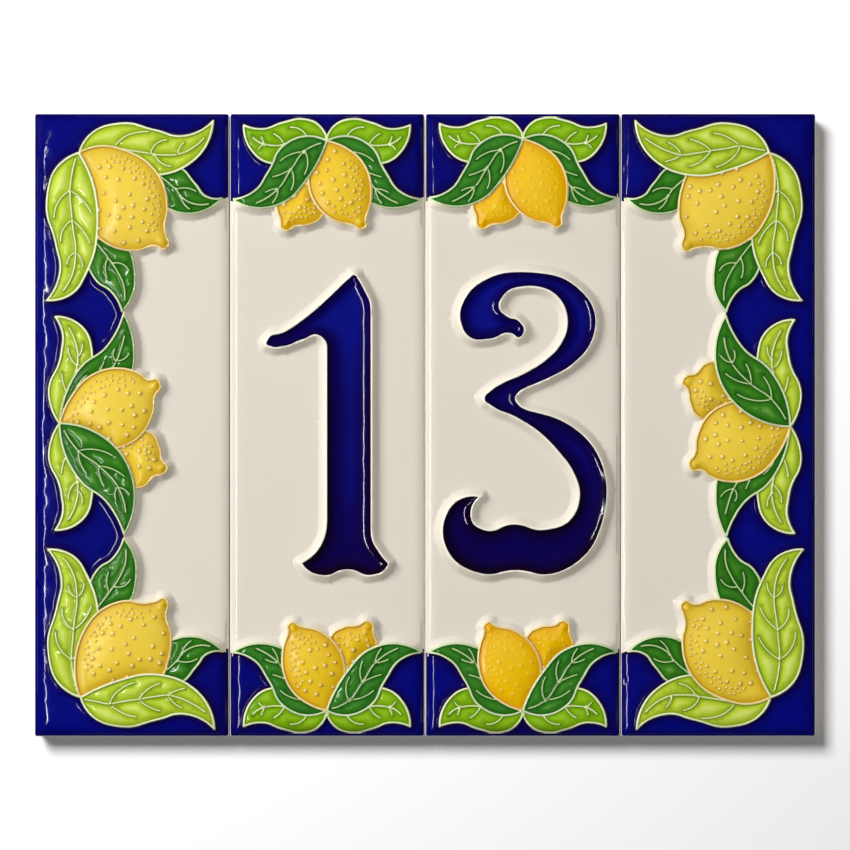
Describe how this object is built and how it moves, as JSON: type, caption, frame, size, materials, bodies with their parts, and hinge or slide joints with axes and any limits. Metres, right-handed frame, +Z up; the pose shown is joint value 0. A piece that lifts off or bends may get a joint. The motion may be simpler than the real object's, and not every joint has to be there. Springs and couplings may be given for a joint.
{
  "type": "house number plaque",
  "caption": "Tall relief tiles set side by side to show a two-digit house number, with a lemon and leaf border pressed round the corners and ends",
  "frame": {"origin": "the middle of the plaque on the wall, in the plane of the tiles' backs, half way between its left and right edges and between its top and bottom", "axes": "X runs along the row of tiles, +Y points into the wall so the glazed faces look along -Y, and Z runs up the tiles with +Z at the top of the digits"},
  "size_m": [0.2006, 0.0108, 0.16],
  "materials": {
    "white_glaze": "cream-white tin glaze, glossy, thin and a little yellower over raised edges",
    "cobalt_glaze": "deep cobalt blue glaze pooled behind the ridges, paler where it thins",
    "lime_glaze": "translucent yellow-green glaze, darker beside the ridges",
    "dark_green_glaze": "translucent bottle green glaze, darker beside the ridges",
    "lemon_glaze": "warm lemon yellow glaze, amber where it pools",
    "ridge_glaze": "thin cream glaze left on the raised outlines",
    "biscuit": "unglazed pale buff biscuit on the back, matt"
  },
  "bodies": {
    "root": {"left_end_tile": "white_glaze", "digit_1_tile": "white_glaze", "digit_3_tile": "white_glaze", "right_end_tile": "white_glaze"}
  },
  "joints": []
}
